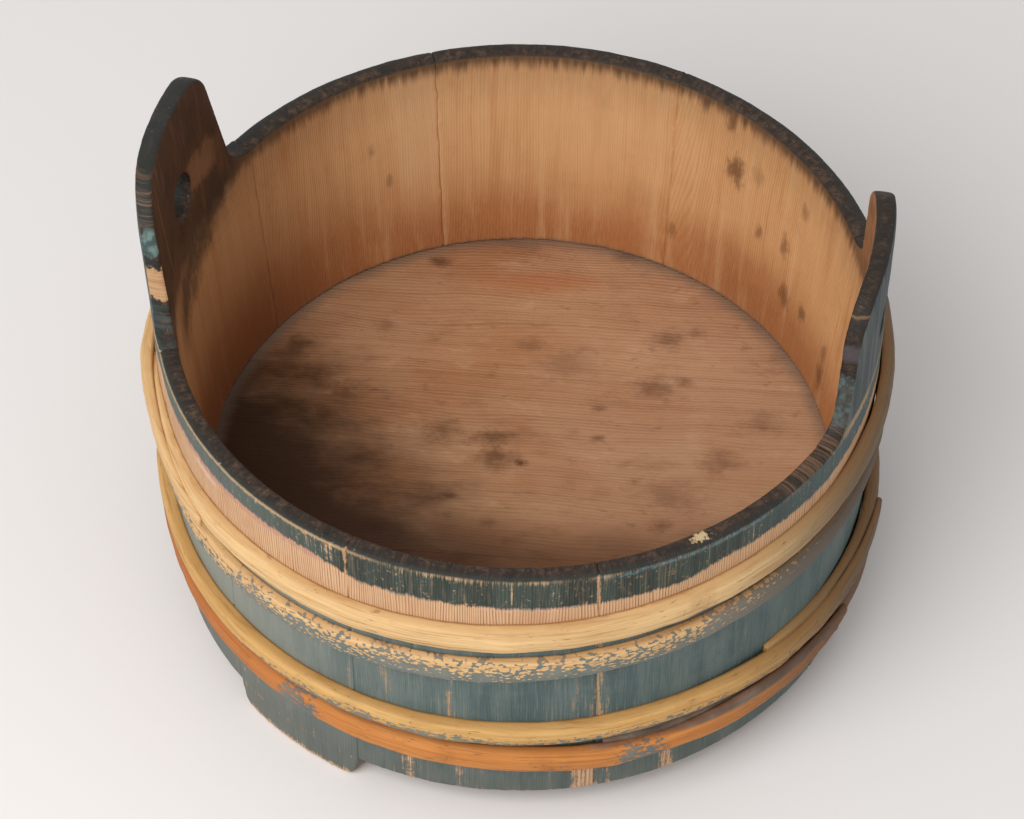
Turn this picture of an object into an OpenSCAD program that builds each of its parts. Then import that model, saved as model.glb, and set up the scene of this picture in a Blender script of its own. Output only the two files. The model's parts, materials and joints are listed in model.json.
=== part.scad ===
// Coopered wooden milk tub, in millimetres.
// Nine staves stand on three feet, two of them rise into pierced handles, a boarded bottom sits in a
// groove inside the staves, and four split-wood hoops with lapped ends hold the whole together.
// The axis of the tub is Z, the feet stand on Z = 0, and +X runs through the right handle.

/* [Tub] */
// Outer diameter across the rim
rim_d = 400; // [370:1:440]
// Outer diameter across the lower ends of the staves
base_d = 394; // [366:1:436]
// Length of a plain stave, from its lower end to the rim
stave_h = 190; // [176:1:230]
// Wall at the rim
rim_wall = 10.5; // [9:0.5:13]
// Wall just above the bottom
floor_wall = 20; // [18:0.5:23]
// Wall at the lower ends of the staves
chime_wall = 15; // [13:0.5:17]
// Height of the straight stretch inside the lower ends of the staves
chime_h = 8; // [4:1:12]
// Bevel worn along both edges of the rim
rim_bevel = 2; // [1:0.25:3]
// Gap between neighbouring staves
stave_gap = 0.2; // [0.1:0.05:0.4]

/* [Stave widths] */
// Angle that a handle stave spans
handle_stave_deg = 48; // [45:0.5:52]
// Angle from the right handle round the back to the left handle
left_handle_at = 178; // [175:0.5:185]
// Angle of the stave behind the right handle
back_right_stave_deg = 47.8; // [42:0.1:50]
// Angle of the stave at the back
back_stave_deg = 43.7; // [38:0.1:48]
// Angle of the narrow stave in front of the left handle
left_stave_deg = 25.5; // [20:0.1:30]
// Angle of the front stave that ends in a foot
foot_stave_deg = 25.7; // [22:0.1:30]
// Angle of the stave at the front
front_stave_deg = 39; // [34:0.1:44]

/* [Feet] */
// Height of the feet below the ends of the plain staves
foot_h = 18; // [12:1:26]
// Slope of a foot's sides, inwards over its height
foot_draw = 4; // [0:0.5:6]
// Rounding of a foot's lower corners
foot_r = 8; // [4:0.5:10]

/* [Handles] */
// Height of the left handle above the rim
left_handle_h = 84; // [70:1:100]
// Height of the right handle above the rim
right_handle_h = 79; // [70:1:100]
// Width of a handle where it leaves the rim
handle_base_w = 126; // [116:1:130]
// Slope of a handle's sides, inwards over its height
handle_draw = 12; // [6:0.5:16]
// Rounding of the left handle's upper corner towards the back
left_handle_r = 18; // [12:1:34]
// Rounding of the left handle's upper corner towards the front
left_front_r = 34; // [12:1:38]
// Rounding of the right handle's upper corners
right_handle_r = 31; // [12:1:34]
// Hollow curve between a handle's side and the rim
handle_fillet_r = 16; // [10:1:18]
// Wall at the top of a handle
handle_t = 11.5; // [9:0.5:14]
// Diameter of the hole through a handle
hole_d = 26; // [22:0.5:32]
// Height of the hole's middle above the rim
hole_up = 26; // [22:0.5:36]
// Distance of the left hole from the middle of its handle, towards the back
left_hole_aside = 8; // [0:0.5:12]
// How far the left stave swells outside the round of the tub
left_swell = 4.5; // [2:0.25:6]
// How far the left handle leans outwards at its top
left_lean = 4; // [0:0.5:6]
// How far the right stave lies flat inside the round of the tub
right_flat = 1.5; // [0.5:0.25:2.5]
// How far the right handle leans outwards at its top
right_lean = 1; // [0:0.5:3]
// How far the staves stand out of the round at the joint behind the left handle
left_joint_out = 3; // [0:0.25:4]
// How far the staves stand out of the round at the joint behind the right handle
right_joint_out = 2; // [0:0.25:3]

/* [Bottom] */
// Height of the bottom's upper face above the ends of the plain staves
floor_up = 46; // [36:1:56]
// Thickness of the bottom boards
bottom_t = 16; // [14:0.5:20]
// Width of the groove that the bottom sits in
croze_w = 9; // [7:0.5:11]
// Depth of that groove
croze_depth = 6; // [4:0.5:8]
// Width of the bevel under the bottom's edge
bottom_bevel = 14; // [10:1:20]
// Slack between the bottom and its groove
bottom_slack = 0.15; // [0.1:0.05:0.3]
// Width of the middle bottom board
middle_board_w = 136; // [116:1:156]
// Gap between neighbouring bottom boards
board_gap = 0.2; // [0.1:0.05:0.4]
// Turn of the boards from the line through the handles
board_turn = 6; // [-20:1:20]
// Diameter of the dowels between the boards
dowel_d = 8; // [6:0.5:9]
// Length of those dowels
dowel_l = 44; // [36:1:52]
// Distance of a dowel from the middle of its joint
dowel_x = 85; // [60:1:100]
// Slack round a dowel
dowel_slack = 0.1; // [0.05:0.05:0.2]

/* [Hoops] */
// Gap between a hoop and the staves
hoop_seat = 0.4; // [0.3:0.05:0.6]
// Waviness of the hoops, up and down
hoop_wave = 1; // [0:0.25:1.5]

/* [Top hoop] */
// Height of the top hoop's middle above the ends of the plain staves
top_hoop_up = 144.5; // [142:0.5:150]
// Width of the top hoop
top_hoop_w = 18; // [15:0.5:20]
// Thickness of the top hoop
top_hoop_t = 6.5; // [5:0.25:8]
// Tilt of the top hoop, up at the right
top_hoop_tilt = 8.5; // [6:0.5:9]
// Angle at which the top hoop's inner end begins
top_hoop_start = 190.5; // [184:0.5:198]
// Angle over which the top hoop's ends lap
top_hoop_lap = 33; // [26:1:40]
// Rise of the top hoop's inner end beside its line
top_hoop_inner_rise = 2; // [0:0.5:3]
// Rise of the top hoop's outer end beside its line
top_hoop_outer_rise = -5; // [-6:0.5:-3]

/* [Second hoop] */
// Bare stretch of the staves between the top hoop and the second hoop
second_hoop_below = 10; // [8:0.5:18]
// Width of the second hoop
second_hoop_w = 18; // [14:0.5:20]
// Thickness of the second hoop
second_hoop_t = 4.5; // [3.5:0.25:6]
// Tilt of the second hoop, up at the right
second_hoop_tilt = 10; // [8:0.5:11]
// Angle at which the second hoop's inner end begins
second_hoop_start = 95; // [80:1:130]
// Angle over which the second hoop's ends lap
second_hoop_lap = 32; // [26:1:40]
// Rise of the second hoop's inner end beside its line
second_hoop_inner_rise = -6; // [-8:0.5:-3]

/* [Third hoop] */
// Bare stretch of the staves between the base hoop and the third hoop
third_hoop_above = 7; // [6.5:0.5:16]
// Width of the third hoop
third_hoop_w = 15; // [12:0.5:16]
// Thickness of the third hoop
third_hoop_t = 6.5; // [5:0.25:8]
// Tilt of the third hoop, up at the right
third_hoop_tilt = -1; // [-2:0.5:0]
// Angle at which the third hoop's inner end begins
third_hoop_start = 322.5; // [312:0.5:332]
// Angle over which the third hoop's ends lap
third_hoop_lap = 38; // [30:1:44]
// Rise of the third hoop's inner end beside its line
third_hoop_inner_rise = 7; // [3:0.5:8]

/* [Base hoop] */
// Height of the base hoop's middle above the ends of the plain staves
base_hoop_up = 34.5; // [28:0.5:35]
// Width of the base hoop
base_hoop_w = 18; // [14:0.5:19]
// Thickness of the base hoop
base_hoop_t = 6; // [4.5:0.25:7]
// Tilt of the base hoop, up at the right
base_hoop_tilt = -6; // [-6.5:0.5:-3]
// Angle at which the base hoop's inner end begins
base_hoop_start = 293.5; // [286:0.5:302]
// Angle over which the base hoop's ends lap
base_hoop_lap = 49; // [40:1:56]
// Rise of the base hoop's inner end beside its line
base_hoop_inner_rise = 7; // [3:0.5:8]
// Rise of the base hoop's outer end beside its line
base_hoop_outer_rise = 5; // [2:0.5:6]

/* [Hidden] */
$fn = 96;

paint = [0.27, 0.34, 0.35];
bare_pine = [0.73, 0.53, 0.34];
hoop_wood = [0.80, 0.62, 0.40];
ochre_wood = [0.74, 0.45, 0.20];

rim_r = rim_d / 2;
base_r = base_d / 2;
end_z = foot_h;
rim_z = end_z + stave_h;
floor_z = end_z + floor_up;
top_z = rim_z + max(left_handle_h, right_handle_h);
reach = 2 * rim_r;
// How far a cutting body runs past what it cuts
overrun = 5;
// Share by which a round overlaps the straights that it joins
cross = 1.005;
// Height at which a handle begins to lean, just under the rim
lean_z = rim_z - 1.5 * rim_bevel;

// The two upper hoops keep together, and so do the two lower ones
second_hoop_up = top_hoop_up - (top_hoop_w + second_hoop_w) / 2 - second_hoop_below;
third_hoop_up = base_hoop_up + (base_hoop_w + third_hoop_w) / 2 + third_hoop_above;

// Joints between the staves, counted from +X round by the back
half_handle = handle_stave_deg / 2;
back_joint_1 = half_handle + back_right_stave_deg;
back_joint_2 = back_joint_1 + back_stave_deg;
left_start = left_handle_at - half_handle;
left_end = left_handle_at + half_handle;
front_joint_1 = left_end + left_stave_deg;
front_joint_2 = front_joint_1 + foot_stave_deg;
front_joint_3 = front_joint_2 + front_stave_deg;
right_start = 360 - half_handle;

// Every foot is as wide as the front foot stave
foot_w = 2 * base_r * sin(foot_stave_deg / 2);

// Outer radius of the plain staves at a height
function wall_r(z) = base_r + (rim_r - base_r) * (z - end_z) / stave_h;

rim_in_r = rim_r - rim_wall;
floor_in_r = wall_r(floor_z) - floor_wall;
end_in_r = base_r - chime_wall;
croze_r = floor_in_r + croze_depth;
bottom_r = croze_r - bottom_slack;
croze_low = floor_z - croze_w - bottom_slack;
croze_high = floor_z + bottom_slack;

// Plan of each stave: its two joints, and how far its face stands out of the tub's round at the
// first joint, in its middle and at the second joint
right_handle_plan = [-half_handle, half_handle, 0, -right_flat, right_joint_out];
back_right_plan = [half_handle, back_joint_1, right_joint_out, right_joint_out / 2, 0];
back_plan = [back_joint_1, back_joint_2, 0, 0, 0];
back_left_plan = [back_joint_2, left_start, 0, left_joint_out / 2, left_joint_out];
left_handle_plan = [left_start, left_end, left_joint_out, left_swell, 0];
left_plan = [left_end, front_joint_1, 0, 0, 0];
front_foot_plan = [front_joint_1, front_joint_2, 0, 0, 0];
front_plan = [front_joint_2, front_joint_3, 0, 0, 0];
front_right_plan = [front_joint_3, right_start, 0, 0, 0];

// A stave's face is a round of its own, through those three points of its plan
function plan_at(plan) = (plan[0] + plan[1]) / 2;
function plan_point(at, out) = (rim_r + out) * [cos(at), sin(at)];
function face_middle(plan) =
  let (
    first = plan_point(plan[0], plan[2]),
    to_mid = plan_point(plan_at(plan), plan[3]) - first,
    to_end = plan_point(plan[1], plan[4]) - first,
    turn = 2 * (to_mid.x * to_end.y - to_mid.y * to_end.x)
  )
  first + (to_mid * to_mid * [to_end.y, -to_end.x] + to_end * to_end * [-to_mid.y, to_mid.x]) / turn;
function face_r(plan, z) = norm(plan_point(plan[0], plan[2]) - face_middle(plan)) + wall_r(z) - rim_r;
function face_at(plan, at, z) =
  let (along = face_middle(plan) * [cos(at), sin(at)], aside = face_middle(plan) * [-sin(at), cos(at)])
  along + sqrt(pow(face_r(plan, z), 2) - pow(aside, 2));

// Wedge of the plan between a stave's joints, drawn back by half the gap on each side
module stave_wedge(plan) {
  half = (plan[1] - plan[0]) / 2;
  rotate([0, 0, plan_at(plan)])
    translate([stave_gap / 2 / sin(half), 0, -overrun])
      linear_extrude(top_z + 2 * overrun)
        polygon([[0, 0], [reach * cos(half), -reach * sin(half)], [reach * cos(half), reach * sin(half)]]);
}

// Body turned about a middle, with its seam on the far side from a stave
module turned(plan, middle, profile) {
  translate(middle)
    rotate([0, 0, plan_at(plan) + 180])
      rotate_extrude()
        polygon(profile);
}

// Inside of the tub at a stave, with the groove for the bottom, up to a profile above the rim
module inside(plan, upper) {
  turned(plan, [0, 0], concat([
    [0, -overrun], [end_in_r, -overrun], [end_in_r, end_z + chime_h],
    [floor_in_r, croze_low], [croze_r, croze_low], [croze_r, croze_high], [floor_in_r, croze_high],
    [rim_in_r, lean_z]
  ], upper));
}

// Stave with a bevelled rim, from a lower end upwards, before an outline is cut
module rimmed_stave(plan, low_z) {
  bevel_z = rim_z - rim_bevel;
  difference() {
    intersection() {
      turned(plan, face_middle(plan), [
        [0, low_z], [face_r(plan, low_z), low_z], [face_r(plan, bevel_z), bevel_z],
        [face_r(plan, rim_z) - rim_bevel, rim_z], [0, rim_z]
      ]);
      stave_wedge(plan);
    }
    inside(plan, [
      [rim_in_r, bevel_z], [rim_in_r + rim_bevel + overrun, rim_z + overrun], [0, rim_z + overrun]
    ]);
  }
}

// Outline cut straight through the wall, drawn upright with its middle on the stave's middle
module cut_through(at) {
  rotate([0, 0, at])
    rotate([90, 0, 90])
      linear_extrude(reach)
        children();
}

// A shape and its mirror image across the middle of a stave
module both_ways() {
  children();
  mirror([1, 0])
    children();
}

// One half of a tongue, with its corner cut to a round.
// The round runs a little past the straights that it joins, so that they cross and don't just touch.
module tongue_half(base_w, draw, h, r) {
  slope = atan(draw / h);
  corner = [base_w / 2 - (h - r) * tan(slope) - r / cos(slope), h - r];
  on_side = corner + r * [cos(slope), sin(slope)];
  on_end = corner + [0, r];
  past = overrun * (on_side - on_end) / norm(on_side - on_end);
  translate(corner)
    circle(r * cross);
  polygon([
    [-overrun, -2 * overrun], [rim_r, -2 * overrun], on_side + past, on_end - past, [-overrun, h - past.y]
  ]);
}

// Outline of a tongue left standing at a stave's end: sloping sides, and a round corner at each
module tongue(base_w, draw, h, first_r, second_r) {
  base_x = base_w / 2;
  end_x = base_x - draw;
  intersection() {
    polygon([[-base_x, -overrun], [base_x, -overrun], [base_x, 0], [end_x, h], [-end_x, h], [-base_x, 0]]);
    union() {
      tongue_half(base_w, draw, h, second_r);
      mirror([1, 0])
        tongue_half(base_w, draw, h, first_r);
    }
  }
}

// Outline of a stave that ends in a foot, up to a height
module foot_outline(high_z) {
  translate([-reach / 2, end_z])
    square([reach, high_z - end_z]);
  translate([0, end_z])
    mirror([0, 1])
      tongue(foot_w, foot_draw, foot_h, foot_r, foot_r);
}

module plain_stave(plan) {
  color(paint)
    rimmed_stave(plan, end_z);
}

module foot_stave(plan) {
  color(paint)
    intersection() {
      rimmed_stave(plan, -overrun);
      cut_through(plan_at(plan))
        foot_outline(top_z);
    }
}

// Outline of a handle, with a hollow curve at each side down to the rim
module handle_outline(h, first_r, second_r) {
  slope = atan(handle_draw / h);
  base_x = handle_base_w / 2;
  fillet = [base_x + handle_fillet_r * (1 - sin(slope)) / cos(slope), handle_fillet_r];
  fillet_end = fillet - handle_fillet_r * [cos(slope), sin(slope)];
  translate([0, rim_z]) {
    tongue(handle_base_w, handle_draw, h, first_r, second_r);
    both_ways()
      difference() {
        polygon([
          [base_x - overrun, -overrun], [fillet.x, -overrun], [fillet.x, 0],
          fillet_end, [fillet_end.x - overrun, fillet_end.y]
        ]);
        translate(fillet)
          circle(handle_fillet_r * cross);
      }
  }
}

// Stave that rises into a handle of a height and two corner radii, and leans outwards towards its top
module handle_stave(plan, h, first_r, second_r, lean, hole_aside, foot) {
  top_r = face_r(plan, lean_z) + lean;
  in_top_r = rim_r + plan[3] + lean - handle_t;
  color(paint)
    difference() {
      intersection() {
        turned(plan, face_middle(plan), [
          [0, -overrun], [face_r(plan, -overrun), -overrun], [face_r(plan, lean_z), lean_z],
          [top_r, top_z], [top_r, top_z + overrun], [0, top_z + overrun]
        ]);
        stave_wedge(plan);
        cut_through(plan_at(plan)) {
          handle_outline(h, first_r, second_r);
          if (foot)
            foot_outline(rim_z);
          else
            translate([-reach / 2, end_z])
              square([reach, stave_h]);
        }
      }
      inside(plan, [[in_top_r, top_z], [in_top_r, top_z + overrun], [0, top_z + overrun]]);
      rotate([0, 0, plan_at(plan)])
        translate([0, hole_aside, rim_z + hole_up])
          rotate([0, 90, 0])
            cylinder(d = hole_d, h = reach);
    }
}

// Bottom as one disc, bevelled below so that its edge fits the groove
module bottom_disc() {
  low_z = floor_z - bottom_t;
  rotate_extrude()
    polygon([
      [0, low_z], [floor_in_r - bottom_slack - bottom_bevel, low_z],
      [floor_in_r - bottom_slack, floor_z - croze_w], [bottom_r, floor_z - croze_w],
      [bottom_r, floor_z], [0, floor_z]
    ]);
}

// One dowel across each of the four dowelled places, with a slack all round for the holes
module dowels(slack = 0) {
  rotate([0, 0, board_turn])
    for (side = [-1, 1], along = [-1, 1])
      translate([along * dowel_x, side * middle_board_w / 2, floor_z - bottom_t / 2])
        rotate([90, 0, 0])
          cylinder(d = dowel_d + 2 * slack, h = dowel_l + 2 * slack, center = true);
}

// Board between two lines across the bottom
module bottom_board(low_y, high_y) {
  color(bare_pine)
    difference() {
      intersection() {
        bottom_disc();
        rotate([0, 0, board_turn])
          translate([-reach / 2, low_y, 0])
            cube([reach, high_y - low_y, rim_z]);
      }
      dowels(dowel_slack);
    }
}

// Angle between a hoop's sections, and points across a section
hoop_step = 3.75;
hoop_sides = 8;
// Power that makes a hoop's outer face fuller than a half round
hoop_round = 0.55;
// Share of a hoop's thickness left at its carved tips, and at one pared thin
tip_share = 0.35;
thin_tip_share = 0.18;
// Angle over which a hoop climbs onto its own inner end, and the gap between the two
ramp_deg = 15;
lap_gap = 0.4;
// Angles at which tilted hoops lie highest and at which every hoop's wave crests
tilt_at = 18;
wave_at = 195;
waves = 3;
// Carved outlines of a hoop's ends: share of the width along the lap
inner_end = [[0, 0.4], [0.12, 0.75], [0.4, 0.9], [1, 1]];
outer_end = [[0, 1], [0.15, 0.72], [0.5, 1.12], [0.82, 0.9], [1, 0.4]];
plain_end = [[0, 1], [0.6, 0.95], [0.85, 0.7], [1, 0.4]];

function turn_from(at, from) = ((at - from + 540) % 360) - 180;

// Radius of the staves under a hoop: the tub's round, and the faces that stand out of it
function under_hoop(at, z) =
  max([
    wall_r(z),
    for (plan = [right_handle_plan, back_right_plan, back_left_plan, left_handle_plan])
      if (abs(turn_from(at, plan_at(plan))) <= (plan[1] - plan[0]) / 2)
        face_at(plan, at, z)
  ]);

// A hoop starts under its own lap at start, runs once round and ends on the lap.
// Places along it are counted in degrees from the start.
function inner_share(run, lap) = min(1, run / lap);
function outer_share(run, lap) = max(0, (run - 360) / lap);
function inner_t(share, t) = t * (tip_share + (1 - tip_share) * share);
function strip_t(run, lap, t, outer_tip) =
  run < 360 ? inner_t(inner_share(run, lap), t) : t * (1 - (1 - outer_tip) * outer_share(run, lap));
function strip_lift(run, lap, t) =
  run < 360 - ramp_deg ? 0
  : run < 360 ? (inner_t(0, t) + lap_gap) * (run - 360 + ramp_deg) / ramp_deg
  : inner_t(outer_share(run, lap), t) + lap_gap;
function strip_w(run, lap, w, outline) =
  w * (run < 360 ? lookup(inner_share(run, lap), inner_end) : lookup(outer_share(run, lap), outline));
function strip_rise(run, lap, inner_rise, outer_rise) =
  inner_rise * (1 - inner_share(run, lap)) + outer_rise * outer_share(run, lap);

module hoop(up, w, t, tilt, start, lap, inner_rise, outer_rise = 0,
    outline = outer_end, outer_tip = tip_share) {
  turns = ceil((360 + lap) / hoop_step);
  points = [
    for (i = [0:turns])
      let (
        run = (360 + lap) * i / turns,
        at = start + run,
        mid_z = end_z + up + tilt * cos(at - tilt_at) + hoop_wave * cos(waves * (at - wave_at))
          + strip_rise(run, lap, inner_rise, outer_rise)
      )
      for (k = [0:hoop_sides - 1])
        let (
          side = -90 + 180 * k / (hoop_sides - 1),
          z = mid_z + strip_w(run, lap, w, outline) / 2 * sin(side),
          out = strip_t(run, lap, t, outer_tip) * pow(max(0, cos(side)), hoop_round),
          r = under_hoop(at, z) + hoop_seat + strip_lift(run, lap, t) + out
        )
        [r * cos(at), r * sin(at), z]
  ];
  skin = [
    for (i = [0:turns - 1], k = [0:hoop_sides - 1])
      let (
        a = i * hoop_sides + k,
        b = i * hoop_sides + (k + 1) % hoop_sides,
        c = a + hoop_sides,
        d = b + hoop_sides
      )
      each [[a, b, c], [b, d, c]]
  ];
  last = turns * hoop_sides;
  caps = [
    for (k = [1:hoop_sides - 2])
      each [[0, k + 1, k], [last, last + k, last + k + 1]]
  ];
  polyhedron(points, concat(skin, caps));
}

module right_handle_stave() {
  handle_stave(right_handle_plan, right_handle_h, right_handle_r, right_handle_r, right_lean, 0, true);
}
module back_right_stave() { plain_stave(back_right_plan); }
module back_stave() { plain_stave(back_plan); }
module back_left_stave() { foot_stave(back_left_plan); }
module left_handle_stave() {
  handle_stave(left_handle_plan, left_handle_h, left_handle_r, left_front_r, left_lean,
    -left_hole_aside, false);
}
module left_stave() { plain_stave(left_plan); }
module front_foot_stave() { foot_stave(front_foot_plan); }
module front_stave() { plain_stave(front_plan); }
module front_right_stave() { plain_stave(front_right_plan); }

board_edge = middle_board_w / 2;
module bottom_front_board() { bottom_board(-rim_r, -board_edge - board_gap / 2); }
module bottom_middle_board() { bottom_board(-board_edge + board_gap / 2, board_edge - board_gap / 2); }
module bottom_back_board() { bottom_board(board_edge + board_gap / 2, rim_r); }
module bottom_dowels() { color(bare_pine) dowels(); }

module top_hoop() {
  color(hoop_wood)
    hoop(top_hoop_up, top_hoop_w, top_hoop_t, top_hoop_tilt,
      top_hoop_start, top_hoop_lap, top_hoop_inner_rise, top_hoop_outer_rise, plain_end, thin_tip_share);
}
module second_hoop() {
  color(hoop_wood)
    hoop(second_hoop_up, second_hoop_w, second_hoop_t, second_hoop_tilt,
      second_hoop_start, second_hoop_lap, second_hoop_inner_rise);
}
module third_hoop() {
  color(hoop_wood)
    hoop(third_hoop_up, third_hoop_w, third_hoop_t, third_hoop_tilt,
      third_hoop_start, third_hoop_lap, third_hoop_inner_rise);
}
module base_hoop() {
  color(ochre_wood)
    hoop(base_hoop_up, base_hoop_w, base_hoop_t, base_hoop_tilt,
      base_hoop_start, base_hoop_lap, base_hoop_inner_rise, base_hoop_outer_rise);
}

right_handle_stave();
back_right_stave();
back_stave();
back_left_stave();
left_handle_stave();
left_stave();
front_foot_stave();
front_stave();
front_right_stave();
bottom_front_board();
bottom_middle_board();
bottom_back_board();
bottom_dowels();
top_hoop();
second_hoop();
third_hoop();
base_hoop();
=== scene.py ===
"""Old coopered milk tub: worn painted staves with two handles, a boarded bottom and four split-wood hoops."""
import json
import math
from types import SimpleNamespace

import bpy
import numpy as np
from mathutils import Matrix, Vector

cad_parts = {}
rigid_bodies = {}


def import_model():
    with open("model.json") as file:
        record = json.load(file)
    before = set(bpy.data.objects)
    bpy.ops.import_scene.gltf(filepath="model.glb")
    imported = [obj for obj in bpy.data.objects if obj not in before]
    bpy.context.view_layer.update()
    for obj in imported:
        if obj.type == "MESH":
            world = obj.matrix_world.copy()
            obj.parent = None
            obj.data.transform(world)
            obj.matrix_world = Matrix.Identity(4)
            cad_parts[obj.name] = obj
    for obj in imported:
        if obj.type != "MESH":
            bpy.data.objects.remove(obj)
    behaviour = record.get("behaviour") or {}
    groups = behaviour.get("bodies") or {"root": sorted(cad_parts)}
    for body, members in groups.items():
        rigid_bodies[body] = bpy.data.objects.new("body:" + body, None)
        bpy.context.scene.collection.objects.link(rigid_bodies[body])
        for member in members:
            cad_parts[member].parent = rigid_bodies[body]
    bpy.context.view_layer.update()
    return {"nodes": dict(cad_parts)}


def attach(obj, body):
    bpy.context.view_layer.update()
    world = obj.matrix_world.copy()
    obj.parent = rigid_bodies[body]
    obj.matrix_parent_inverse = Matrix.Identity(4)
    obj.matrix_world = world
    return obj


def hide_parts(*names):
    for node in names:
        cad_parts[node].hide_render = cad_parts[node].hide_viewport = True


bl_info = {
    "name": "Coopered milk tub",
    "version": (1, 0, 0),
    "blender": (4, 5, 0),
    "location": "View3D > Sidebar > Tub",
    "description": "Dresses the staves, bottom and hoops of an old painted milk tub",
    "category": "Object",
}

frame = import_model()

PLAIN_STAVES = ("back_right_stave", "back_stave", "back_left_stave", "left_stave",
                "front_foot_stave", "front_stave", "front_right_stave")
BOARDS = ("bottom_front_board", "bottom_middle_board", "bottom_back_board")
# Millimetres: the height of the plain staves' lower ends, the rim's height above them, and the wall's radius
END_Z = 18.0
RIM_UP = 190
WALL_R = 200
# Millimetres between the growth rings of the staves and of the bottom boards
STAVE_RINGS = 1.45
BOARD_RINGS = 2.3
# The side that faces the viewer, the side to which the hoops lean, and the way the bottom boards run
FRONT = math.radians(-79.5)
HOOP_LEAN = math.radians(18)
BOARD_TURN = math.radians(6)
# Metres: the lamp's place and aim to the right, away and up as the viewer sees them, and the floor
LAMP_PLACE = (-0.85, -1.3, 1.65)
LAMP_AIM = (0, 0, 0.12)
FLOOR_WIDTH = 12
FLOOR_Z = -0.0005
# Metres and angles of the camera, and its sensor in millimetres
CAMERA_PLACE = (0.2672, -1.4691, 1.8299)
CAMERA_TURN = (math.radians(41.007), 0, math.radians(10.5))
SENSOR_WIDTH = 36


def tone(red, green, blue):
    """A colour as shares of one, from the usual 0 to 255."""
    return (red / 255, green / 255, blue / 255)


def linear(colour):
    """A display colour as the linear values that a shader's socket takes."""
    return [c / 12.92 if c <= 0.04045 else ((c + 0.055) / 1.055) ** 2.4 for c in colour] + [1.0]


def colour_property(name, description, default):
    return bpy.props.FloatVectorProperty(name=name, description=description, default=default,
                                         subtype="COLOR_GAMMA", size=3, min=0, max=1)


def length_property(name, description, default, least, most):
    return bpy.props.FloatProperty(name=name, description=description, default=default, min=least, max=most,
                                   subtype="DISTANCE", unit="LENGTH")


class TubSizes(bpy.types.PropertyGroup):
    """Sizes of the wear on the wood."""
    mesh_size: length_property("Mesh size", "Size of the faces of a worn stave", 0.0014, 0.001, 0.004)
    handle_mesh: length_property(
        "Handle mesh", "Size of the fine faces from which a handle's edges are rounded", 0.0006, 0.0004, 0.0014)
    board_edge: length_property("Board edge", "Rounding along the edges of the bottom boards", 0.0005, 0, 0.003)
    end_edge: length_property("End edge", "Rounding along the lower ends of the staves", 0.001, 0, 0.003)
    unevenness: length_property("Unevenness", "Height of the long waves that hand tools left", 0.0007, 0, 0.003)
    edge_wear: length_property("Edge wear", "Depth of the knocks along the rim", 0.0013, 0, 0.004)
    joint_press: length_property(
        "Joint press", "How far swollen staves press into each other at a joint", 0.0005, 0, 0.002)
    hoop_lumps: length_property("Hoop lumps", "Height of the lumps along a split hoop", 0.0013, 0, 0.003)
    hoop_fill: length_property(
        "Hoop fill", "How far a rounded hoop swells back to its full section", 0.0007, 0, 0.002)


class TubColours(bpy.types.PropertyGroup):
    """Colours of the wood and the paint."""
    pine: colour_property("Inside pine", "Bare pine inside the tub", tone(214, 162, 111))
    pine_low: colour_property("Low pine", "Bare pine near the bottom", tone(174, 113, 69))
    pine_line: colour_property("Growth line", "Dark lines of the pine's growth", tone(142, 90, 52))
    bare: colour_property("Outside pine", "Bare pine outside the tub", tone(211, 170, 130))
    paint: colour_property("Paint", "Blue-grey paint of the staves", tone(98, 111, 107))
    # Deep paint is also laid on as painted shade on the right side, and thin paint as painted light on the left side
    paint_deep: colour_property("Deep paint", "Thick paint in hollows", tone(71, 90, 90))
    paint_pale: colour_property("Thin paint", "Rubbed and chalky paint", tone(146, 148, 138))
    band: colour_property("Rim band", "Blue-black band under the rim", tone(46, 54, 49))
    rim: colour_property("Rim", "Worn dark wood of the rim and the handles", tone(44, 35, 29))
    red: colour_property("Red rest", "Rest of an older red paint", tone(184, 132, 116))
    floor: colour_property("Bottom", "Wood of the bottom boards", tone(184, 140, 104))
    floor_line: colour_property("Bottom line", "Grain lines of the bottom boards", tone(134, 88, 56))
    stain: colour_property("Stain", "Stains in the bottom and the wall", tone(92, 56, 32))
    hoop: colour_property("Bare hoop", "Bare wood of the top hoop", tone(210, 170, 118))
    flaked_hoop: colour_property("Flaked hoop", "Yellow wood under flaking paint", tone(208, 166, 114))
    third_hoop: colour_property("Third hoop", "Yellow-ochre wood of the third hoop", tone(196, 150, 88))
    base_hoop: colour_property("Base hoop", "Orange-ochre wood of the base hoop", tone(190, 120, 58))


class StageSettings(bpy.types.PropertyGroup):
    """The floor, the light and the camera."""
    floor_colour: colour_property("Floor", "Plain pale floor", tone(238, 234, 232))
    light_power: bpy.props.FloatProperty(
        name="Light power", description="Power of the soft lamp at the upper left", default=35.5, min=0, max=200,
        subtype="POWER", unit="POWER")
    light_size: length_property("Light size", "Width of the soft lamp", 1.8, 0.1, 4)
    sky: bpy.props.FloatProperty(
        name="Sky", description="Strength of the even light from all sides", default=0.57, min=0, max=1)
    lens: bpy.props.FloatProperty(
        name="Lens", description="Focal length of the camera", default=0.14156, min=0.01, max=0.5,
        subtype="DISTANCE_CAMERA", unit="CAMERA")


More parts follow.
